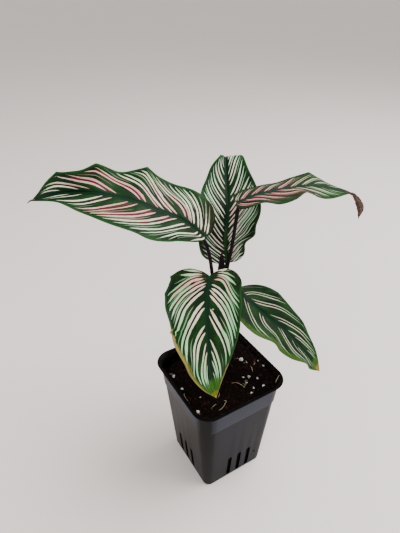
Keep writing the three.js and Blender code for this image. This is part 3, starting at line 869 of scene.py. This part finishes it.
def withered_tip():
    """The right leaf's tip, dry and crumpled."""
    u, reach = blade_grid(WITHERED_TIP, 70, 25)
    middle = blade_point(WITHERED_TIP, u, reach)
    normal = blade_normal(WITHERED_TIP, u, reach)
    crumple = 0.16 * np.sin(u * 31 + reach * 5) + 0.12 * np.sin(u * 57 - reach * 9)
    half = TIP_THICKNESS / 2
    upper, lower = (middle + normal * (crumple + way)[..., None] for way in (half, -half))
    points, *faces = sheet(upper, lower)
    piece = mesh_object("withered_tip_right", points, sum(faces, []), [withered()])
    turn_outward(piece)
    return finish_piece(piece, "leaf")


def dry_point():
    """The left leaf ends in a short dark hair."""
    end, before = along(BLADES["left"]["rib"], np.array([1.0, 0.98]))
    forward = unit(end - before)
    path = [before, end, end + forward * 1.0 + (0, 0, -0.3), end + forward * 1.9 + (0, 0, -0.9)]
    path = along(path, np.linspace(0, 1, 24))
    points, faces = tube(path, np.linspace(0.5, 0.16, 24), 10)
    piece = mesh_object("dry_point_left", points, faces, [withered()])
    return finish_piece(piece, "leaf")


# ------------------------ stalks and shoot


def stalk_path(points, count):
    """The centripetal Catmull-Rom curve through the points, which the CAD stalks follow."""
    p = with_ends(points)
    path = []
    for place in np.linspace(0, len(points) - 1, count):
        i = min(int(place), len(points) - 2)
        a, b, c, d = p[i:i + 4]
        first, second, third = (max(np.linalg.norm(way) ** 0.5, 1e-4) for way in (b - a, c - b, d - c))
        leaving = ((b - a) / first - (c - a) / (first + second) + (c - b) / second) * second
        arriving = ((c - b) / second - (d - b) / (second + third) + (d - c) / third) * second
        path.append(cubic_between(b, c, leaving, arriving, place - i))
    return np.array(path)


def tube(path, radii, sides):
    """Points and faces of a round tube with closed ends."""
    forward = unit(np.gradient(path, axis=0))
    across = np.cross(forward[0], (0.3, 1, 0.2))
    points = []
    for centre, direction, radius in zip(path, forward, radii):
        across = unit(across - direction * (across @ direction))
        other = np.cross(direction, across)
        for k in range(sides):
            angle = 2 * pi * k / sides
            points.append(centre + radius * (cos(angle) * across + sin(angle) * other))
    return points, capped_faces(len(path), sides)


def stalk(side, material):
    """A round stalk, a little swollen below the blade that it carries."""
    blade = BLADES[side]
    joint = along(blade["rib"], np.array([0.015]))[0]
    under = blade_normal(blade, np.array([0.03]), np.array([0.0]))[0]
    under = under if under[2] > 0 else -under
    path = stalk_path([*STALKS[side][:-1], tuple(joint - under * 0.75)], 90)
    share = np.linspace(0, 1, len(path))
    to_blade = (1 - share) * np.linalg.norm(np.diff(path, axis=0), axis=1).sum()
    radii = STALK_RADIUS * (1.02 - 0.1 * share + 0.18 * smoothstep(0, 8, to_blade))
    radii = radii + 0.14 * np.exp(-(((to_blade - 5) / 3.2) ** 2))
    radii = radii * (1 - 0.35 * smoothstep(1.5, 0, to_blade))
    piece = mesh_object(f"round_stalk_{side}", *tube(path, radii, 20), [material])
    return finish_piece(piece, "stalk", f"stalk_{side}")


def shoot_centre(z):
    low, high, top = SHOOT_LINE
    start, end = (low, high) if z < high[2] else (high, top)
    share = min(max((z - start[2]) / (end[2] - start[2]), 0), 1)
    return start[0] + (end[0] - start[0]) * share, start[1] + (end[1] - start[1]) * share


def shoot(material):
    """A bundle of rolled sheaths: each has a free edge that winds a little round the shoot."""
    heights = np.linspace(SHOOT_PROFILE[0][1], SHOOT_PROFILE[-1][1], 260)
    radii = np.interp(heights, [z for _, z in SHOOT_PROFILE], [r for r, _ in SHOOT_PROFILE])
    sides = 96
    # Each sheath's first angle, twist in radians per mm, thickness and top.
    sheaths = [
        (0.4, 0.012, 0.34, 88), (2.6, -0.01, 0.3, 104), (4.5, 0.008, 0.28, 130), (1.4, 0.02, 0.22, 150),
    ]
    points = []
    for z, radius in zip(heights, radii):
        x, y = shoot_centre(z)
        for k in range(sides):
            angle = 2 * pi * k / sides
            swell = 1 + 0.07 * cos(2 * angle + 1) + 0.03 * cos(5 * angle)
            wrap = 0
            for start, twist, thick, top in sheaths:
                turn = (angle - start - twist * (z - 76)) % (2 * pi)
                fade = 1 - smoothstep(top - 6, top + 1, z + 3 * cos(turn))
                wrap += thick * fade * (smoothstep(0, 0.12, turn) - turn / (2 * pi)) * 0.8
            ridge = 0.05 * sin(angle * 11 + z * 0.02)
            reach = radius * swell + (wrap + ridge) * min(radius / 2, 1)
            points.append((*orbit(x, y, reach, angle), z))
    piece = mesh_object("sheathed_shoot", points, capped_faces(len(heights), sides), [material])
    return finish_piece(piece, "shoot", "shoot")


def sheath_collars(material):
    """The open top of the sheath from which each stalk comes."""
    levels, half_turn, thickness = 22, 7, 0.22
    # Once round a collar: along its inside, then back along its outside.
    inside = [(k, 0) for k in range(2 * half_turn + 1)]
    outline = inside + [(k, thickness) for k, _ in reversed(inside)]
    around = len(outline)
    last = (levels - 1) * around
    faces = grid_faces(levels, around, closed=True)
    faces += [(last + k, last + around - 1 - k, last + around - 2 - k, last + k + 1) for k, _ in inside[:-1]]
    parts = []
    for route in STALKS.values():
        path = stalk_path(route, 120)
        x_at, y_at, heights = path.T
        points = []
        for share in np.linspace(0, 1, levels):
            z = route[0][2] - 3 + 12 * share
            x, y = np.interp(z, heights, x_at), np.interp(z, heights, y_at)
            centre_x, centre_y = shoot_centre(z)
            facing = atan2(y - centre_y, x - centre_x)
            radius = STALK_RADIUS + 0.35 - 0.12 * share
            spread = pi * (0.95 - 0.75 * share**1.5)
            for k, layer in outline:
                angle = facing + pi + spread * (k / half_turn - 1)
                reach = radius + layer * (1 - 0.6 * share)
                points.append((*orbit(x, y, reach, angle), z))
        parts.append((points, faces))
    piece = joined("sheath_collars", parts, material, "shoot")
    turn_outward(piece)
    return piece


# ------------------------ pot


def body_half(z):
    return BASE_HALF + DRAFT * z


def inner_half(z, margin):
    """Half the width of the pot's inside, less a margin."""
    return body_half(z) - WALL - margin


def rounding_at(z):
    return BASE_ROUNDING + (RIM_ROUNDING - BASE_ROUNDING) * z / POT_HEIGHT


def square_ring(half, rounding, side_steps, corner_steps):
    """A square outline with round corners, walked anticlockwise."""
    radius = half * rounding
    straight = half - radius
    ring = []
    for quarter in range(4):
        local = [(half, -straight + 2 * straight * i / side_steps) for i in range(side_steps)]
        for i in range(corner_steps):
            local.append(orbit(straight, straight, radius, pi / 2 * i / corner_steps))
        ring += [turned(x, y, quarter * pi / 2) for x, y in local]
    return ring


def softened(profile, radius, steps=4):
    """The profile with each corner rounded."""
    rounded = [profile[0]]
    for before, corner, after in zip(profile, profile[1:], profile[2:]):
        corner = np.array(corner, float)
        ways = [np.array(end) - corner for end in (before, after)]
        lengths = [np.linalg.norm(way) for way in ways]
        near = min(radius, *(length * 0.45 for length in lengths))
        start, end = (corner + way / max(length, 1e-6) * near for way, length in zip(ways, lengths))
        for t in np.linspace(0, 1, steps + 1):
            rounded.append(tuple((1 - t) ** 2 * start + 2 * t * (1 - t) * corner + t * t * end))
    return [*rounded, profile[-1]]


def cutter(name, points, faces):
    piece = mesh_object(name, points, faces, [], smooth=False)
    turn_outward(piece)
    return piece


def slot_cutters():
    """Three upright slots with round ends for each side."""
    points, faces = [], []
    steps = 10
    radius = SLOT_WIDTH / 2
    for side in range(4):
        shift = -SLOT_SHIFT if side % 2 else SLOT_SHIFT
        for place in (-1, 0, 1):
            outline = []
            for centre, first in ((SLOT_TOP - radius, 0), (SLOT_FOOT + radius, pi)):
                for i in range(steps + 1):
                    x = place * SLOT_STEP + shift
                    outline.append(orbit(x, centre, radius, first + pi * i / steps))
            start = len(points)
            for depth in (-BASE_HALF - 4, -BASE_HALF + WALL + 2):
                points += [(*turned(x, depth, -side * pi / 2), z) for x, z in outline]
            for face in capped_faces(2, len(outline)):
                faces.append(tuple(start + index for index in face))
    return cutter("slot_cutters", points, faces)


def dimple_cutter():
    """The round end of a small tool, pressed into the side that faces -Y."""
    sides, rings = 20, 6
    x0, z0 = DIMPLE["along"], DIMPLE["z"]
    y0 = -body_half(z0)
    points = []
    for ring in range(rings + 1):
        turn = ring / rings * pi / 2
        radius = DIMPLE["radius"] * cos(turn) + 1e-3
        for k in range(sides):
            x, z = orbit(x0, z0, radius, 2 * pi * k / sides)
            points.append((x, y0 + DIMPLE["depth"] * sin(turn), z))
    outer = [(x, y0 - 1, z) for x, _, z in points[:sides]]
    return cutter("dimple_cutter", outer + points, capped_faces(rings + 2, sides))


def pot(material):
    """The square pot from its profile, with its slots and its dimple cut out."""
    step_foot = BAND_FOOT - BAND_STEP
    lip_foot = POT_HEIGHT - 10
    profile = [
        (0, 0), (BASE_HALF - 0.8, 0), (body_half(0.8), 0.8), (body_half(step_foot), step_foot),
        (body_half(step_foot) + BAND_STEP, BAND_FOOT), (body_half(BAND_TOP) + BAND_STEP, BAND_TOP),
        (RIM_HALF - 0.8, POT_HEIGHT - 1.2), (RIM_HALF, POT_HEIGHT - 0.6), (RIM_HALF - 0.3, POT_HEIGHT),
        (RIM_HALF - 1, POT_HEIGHT), *LIP, (inner_half(lip_foot, 0), lip_foot),
        (inner_half(POT_FLOOR, 0), POT_FLOOR), (0, POT_FLOOR),
    ]
    profile = softened(profile, 0.14)
    points = []
    for half, z in profile:
        ring = square_ring(max(half, 1e-3), rounding_at(z), 12, 26)
        points += [(x, y, z) for x, y in ring]
    piece = mesh_object("nursery_pot", points, capped_faces(len(profile), len(ring)), [material])
    turn_outward(piece)
    for tool in (slot_cutters(), dimple_cutter()):
        cut = piece.modifiers.new("cut", "BOOLEAN")
        cut.object = tool
        cut.operation = "DIFFERENCE"
        cut.solver = "EXACT"
        shape = bpy.data.meshes.new_from_object(piece.evaluated_get(bpy.context.evaluated_depsgraph_get()))
        piece.modifiers.clear()
        piece.data = shape
        bpy.data.objects.remove(tool)
    sharpen(piece, 32)
    return finish_piece(piece, "pot_plastic", "pot")


# ------------------------ potting mix

MIX_OUTLINE = 74  # the height at which the mix takes its outline from the pot's inside
PEAT_CRUMBS = 900
BARK_CHIPS = 190
SHOOT_ROOM = 3.4  # crumbs lie at least this far from the shoot's middle
LIP_CRUMBS = 420
LOOSE_FIBRES = 150
CURLS = 14  # pale fibres at places of their own, beside those that the photograph shows


def soil_height(x, y):
    from_dip = (x - SOIL_DIP["x"]) ** 2 + (y - SOIL_DIP["y"]) ** 2
    dip = SOIL_DIP["depth"] * exp(-from_dip / (2 * SOIL_DIP["spread"] ** 2))
    waves = sin(0.55 * x + 1) * cos(0.6 * y) + sin(0.9 * y - 0.4 * x)
    return SOIL_LEVEL + SOIL_TILT * x - dip + SOIL_BUMP / 2 * waves


def lumpy_height(x, y):
    rough = noise.fractal(Vector((x * 0.35, y * 0.35, 3)), 0.8, 2.1, 4)
    pits = noise.noise(Vector((x * 1.3, y * 1.3, 9)))
    return soil_height(x, y) + 0.75 * rough + 0.35 * pits


def soil(material):
    """The mix fills the pot to the walls, with a crumbled top."""
    rings, side_steps, corner_steps = 62, 26, 16
    walls = (POT_FLOOR + CLEARANCE, 40, 66)
    points = []
    for z in walls:
        ring = square_ring(inner_half(z, CLEARANCE), rounding_at(z), side_steps, corner_steps)
        points += [(x, y, z) for x, y in ring]
    for step in range(rings):
        share = 1 - step / rings
        half = inner_half(MIX_OUTLINE, CLEARANCE) * share
        for x, y in square_ring(half, rounding_at(MIX_OUTLINE) * share**0.3, side_steps, corner_steps):
            z = lumpy_height(x, y)
            if step == 0:
                ratio = inner_half(z, CLEARANCE) / half
                x, y = x * ratio, y * ratio
            points.append((x, y, z))
    piece = mesh_object("peat_bed", points, capped_faces(len(walls) + rings, len(ring)), [material])
    return finish_piece(piece, "potting_mix", "potting_mix")


def lump(centre, size, detail, roughness):
    """A rough grain: points and faces of a small ball pushed in and out."""
    seed = RANDOM.uniform(0, 90)
    shape = bmesh.new()
    bmesh.ops.create_icosphere(shape, subdivisions=detail, radius=1)
    points = []
    for vertex in shape.verts:
        direction = vertex.co.normalized()
        push = 1 + roughness * noise.noise(direction * 1.7 + Vector((seed, 0, 0)))
        push += roughness * 0.5 * noise.noise(direction * 4 + Vector((0, seed, 0)))
        points.append(np.array(centre) + np.array(direction) * np.array(size) * push)
    faces = [[v.index for v in face.verts] for face in shape.faces]
    shape.free()
    return points, faces


def inside_pot(x, y, margin):
    half = inner_half(MIX_OUTLINE, margin)
    radius = half * rounding_at(MIX_OUTLINE)
    over_x, over_y = abs(x) - (half - radius), abs(y) - (half - radius)
    if over_x > 0 and over_y > 0:
        return hypot(over_x, over_y) < radius
    return max(abs(x), abs(y)) < half


def crumbs(name, count, low, high, material, flatness=0.7):
    """Loose crumbs of bark and peat, sunk part of the way in."""
    parts = []
    while len(parts) < count:
        x, y = RANDOM.uniform(-29, 29, 2)
        size = RANDOM.uniform(low, high) * RANDOM.uniform(0.6, 1)
        if inside_pot(x, y, size + 0.4) and hypot(x, y) >= SHOOT_ROOM:
            shape = size * RANDOM.uniform(0.6, 1.2, 3) * (1, 1, flatness)
            centre = (x, y, lumpy_height(x, y) + shape[2] * 0.25)
            parts.append(lump(centre, shape, 2 if high > 0.8 else 1, 0.7))
    return joined(name, parts, material, "potting_mix", smooth=False)


def lip_crumbs(material):
    """Crumbs of the mix that lie against the wall and on the inner slope of the rim."""
    parts = []
    halves, levels = zip(*sorted(LIP))
    while len(parts) < LIP_CRUMBS:
        reach = 28 + 2.2 * RANDOM.random() ** 1.6
        across = RANDOM.uniform(-reach * 0.93, reach * 0.93)
        turn = RANDOM.integers(4) * pi / 2
        radius = reach * RIM_ROUNDING
        over = max(abs(across) - (reach - radius), 0)
        corner = radius - sqrt(max(radius**2 - over**2, 0))
        x, y = turned(reach - corner, across, turn)
        z = np.interp(reach, halves, levels)
        # A crumb below the slope lies on the mix.
        if z < 76.6:
            z = max(lumpy_height(x, y), 73)
        size = RANDOM.uniform(0.2, 0.5)
        parts.append(lump((x, y, z + size * 0.3), (size, size, size * 0.7), 1, 0.7))
    return joined("lip_crumbs", parts, material, "potting_mix", smooth=False)


# Where the white grains lie: x, y, and the grain's radius.
GRAINS = [
    (-23.8, 17.4, 1.1), (-24.7, 4.2, 1), (-25.3, -16.6, 1), (-18.7, -8.1, 0.5), (19, 1.8, 1.35),
    (20.2, -2.5, 0.5), (27.2, -5.4, 0.5), (27.5, -10.5, 0.8), (11.6, -10.7, 0.55), (14.5, -12.8, 0.95),
    (18, -16.9, 0.6), (10.6, -15.6, 0.5), (17.6, -23.6, 0.75), (11.5, -21.7, 0.8), (8.6, -23.3, 0.6),
]


def perlite_grains(material):
    parts = []
    for x, y, radius in GRAINS:
        shape = radius * RANDOM.uniform(0.6, 1.1, 3) * (1, 1, 0.8)
        parts.append(lump((x, y, lumpy_height(x, y) + radius * 0.25), shape, 3, 0.85))
    return joined("perlite_grains", parts, material, "potting_mix")


def fibre(points, radius):
    path = along(points, np.linspace(0, 1, 8 * len(points)))
    taper = radius * (1 - 0.6 * np.abs(np.linspace(-1, 1, len(path))) ** 3)
    return tube(path, taper, 6)


def wander(x, y, angle, turns, stride, rises):
    """A route over the mix that turns after each place, with its rise over the mix at each."""
    route = []
    for turn, rise in zip(turns, rises):
        route.append((x, y, lumpy_height(x, y) + rise))
        angle += turn
        x, y = orbit(x, y, stride, angle)
    return route


def is_free(route, distance):
    """Whether a route stays off the pot's wall and at this distance from the shoot."""
    return all(inside_pot(x, y, 0.6) and hypot(x, y) > distance for x, y, _ in route)


def loose_fibres(material):
    """Thin dark root and peat fibres that lie on the surface."""
    parts = []
    while len(parts) < LOOSE_FIBRES:
        x, y = RANDOM.uniform(-28, 28, 2)
        angle = RANDOM.uniform(0, 2 * pi)
        length = RANDOM.uniform(2, 7)
        turns = RANDOM.uniform(-0.7, 0.7, 5)
        route = wander(x, y, angle, turns, length / 4, (0.25, 0.55, 0.55, 0.25, 0.25))
        if is_free(route, 3.8):
            parts.append(fibre(route, RANDOM.uniform(0.07, 0.16)))
    return joined("peat_fibres", parts, material, "potting_mix")


# Pale straw-like fibres at the places the photograph shows: points, and height above the mix.
PALE_FIBRES = [
    [(25, -26, 0.5), (26.4, -25.2, 1.5), (28.1, -24.5, 1.9), (30, -23.9, 1.7)],
    [(20.2, -6, 0.4), (19.8, -8.5, 0.9), (18.4, -11.2, 0.4)],
    [(-25.1, 0.4, 0.8), (-26.6, -2, 1.6), (-26.9, -4.4, 1.8), (-26.5, -9.1, 0.8)],
    [(-9.4, -20.6, 1.2), (-10.2, -22.2, 1.5), (-12, -22.4, 0.9), (-14.6, -22.6, 0.4)],
    [(-8.6, -18.8, 0.4), (-8, -20.2, 1.2), (-9.4, -21.4, 0.9)],
    [(2.6, -10.6, 0.4), (5.2, -12.2, 0.9), (6.4, -15.2, 1), (7.2, -18, 0.4)],
]


def pale_fibres(material):
    parts = []
    for places in PALE_FIBRES:
        parts.append(fibre([(x, y, lumpy_height(x, y) + rise) for x, y, rise in places], 0.12))
    rises = 0.35 + 0.7 * np.sin(pi * np.linspace(0, 1, 5))
    while len(parts) < len(PALE_FIBRES) + CURLS:
        x, y = RANDOM.uniform(-26, 26, 2)
        angle, turn = RANDOM.uniform(0, 2 * pi), RANDOM.uniform(-1, 1)
        route = wander(x, y, angle, [turn] * 5, 1.1, rises)
        if is_free(route, 4):
            parts.append(fibre(route, RANDOM.uniform(0.06, 0.11)))
    return joined("pale_fibres", parts, material, "potting_mix")


# ------------------------ the studio

CAMERA_PLACE = (-113.554, -165.073, 286.112)
CAMERA_RIGHT = (0.8565, -0.5161, 0)
CAMERA_FORWARD = (0.4340, 0.7202, -0.5412)
FOCAL_LENGTH = 440  # in pixels of the photograph, as is its height
PHOTO_HEIGHT = 533
SENSOR_HEIGHT = 36
FLOOR_HALF = 60000


def photo_camera():
    """The photograph's own view: its place, and the three directions of its frame."""
    forward = Vector(CAMERA_FORWARD).normalized()
    right = Vector(CAMERA_RIGHT)
    right = (right - right.dot(forward) * forward).normalized()
    up = right.cross(forward)
    place = Vector(CAMERA_PLACE) * MM
    data = bpy.data.cameras.new("photo_camera")
    data.sensor_fit = "VERTICAL"
    data.sensor_height = SENSOR_HEIGHT
    data.lens = FOCAL_LENGTH / PHOTO_HEIGHT * SENSOR_HEIGHT
    data.clip_end = 200
    data.clip_start = 0.01
    camera = bpy.data.objects.new("photo_camera", data)
    turn = Matrix((right, up, -forward)).transposed().to_4x4()
    camera.matrix_world = Matrix.Translation(place) @ turn
    bpy.context.scene.collection.objects.link(camera)
    bpy.context.scene.camera = camera


def soft_light(name, place, aim, size, power, tint):
    data = bpy.data.lights.new(name, "AREA")
    data.shape = "RECTANGLE"
    data.size = size[0]
    data.size_y = size[1]
    data.energy = power
    data.color = tint
    lamp = bpy.data.objects.new(name, data)
    lamp.location = place
    lamp.rotation_euler = (Vector(aim) - Vector(place)).to_track_quat("-Z", "Y").to_euler()
    bpy.context.scene.collection.objects.link(lamp)


def studio():
    points = [(x * FLOOR_HALF, y * FLOOR_HALF, 0) for x, y in ((-1, -1), (1, -1), (1, 1), (-1, 1))]
    floor = mesh_object("studio_floor", points, [(0, 1, 2, 3)], [floor_finish()], smooth=False)
    world = bpy.data.worlds.new("studio")
    bpy.context.scene.world = world
    world.use_nodes = True
    background = world.node_tree.nodes["Background"]
    background.inputs[0].default_value = (1, 0.985, 0.97, 1)
    background.inputs[1].default_value = 0.95
    soft_light("window", (0.55, -0.2, 1.0), (0, 0, 0.12), (0.9, 0.9), 22, (1, 0.99, 0.97))
    soft_light("fill", (-0.7, -0.6, 0.8), (0, 0, 0.1), (0.8, 0.6), 6, (1, 0.98, 0.96))


# ------------------------ everything in place

photo_camera()
studio()

stalk_material = stalk_skin()
shoot_material = shoot_skin()
peat_material = peat("dark_peat", (5, 3, 3), (20, 12, 10))
bark_material = peat("bark", (12, 6, 5), (50, 26, 19), 0.3)

pot(black_plastic())
soil(peat_material)
crumbs("peat_crumbs", PEAT_CRUMBS, 0.3, 0.75, peat_material)
lip_crumbs(bark_material)
crumbs("bark_chips", BARK_CHIPS, 0.6, 1.3, bark_material, 0.45)
perlite_grains(perlite())
loose_fibres(bark_material)
pale_fibres(peat("straw", (150, 132, 108), (210, 196, 172), 0.1))
shoot(shoot_material)
sheath_collars(shoot_material)
for name in BLADES:
    stalk(name, stalk_material)
    leaf(name)
withered_tip()
dry_point()

bpy.context.view_layer.update()
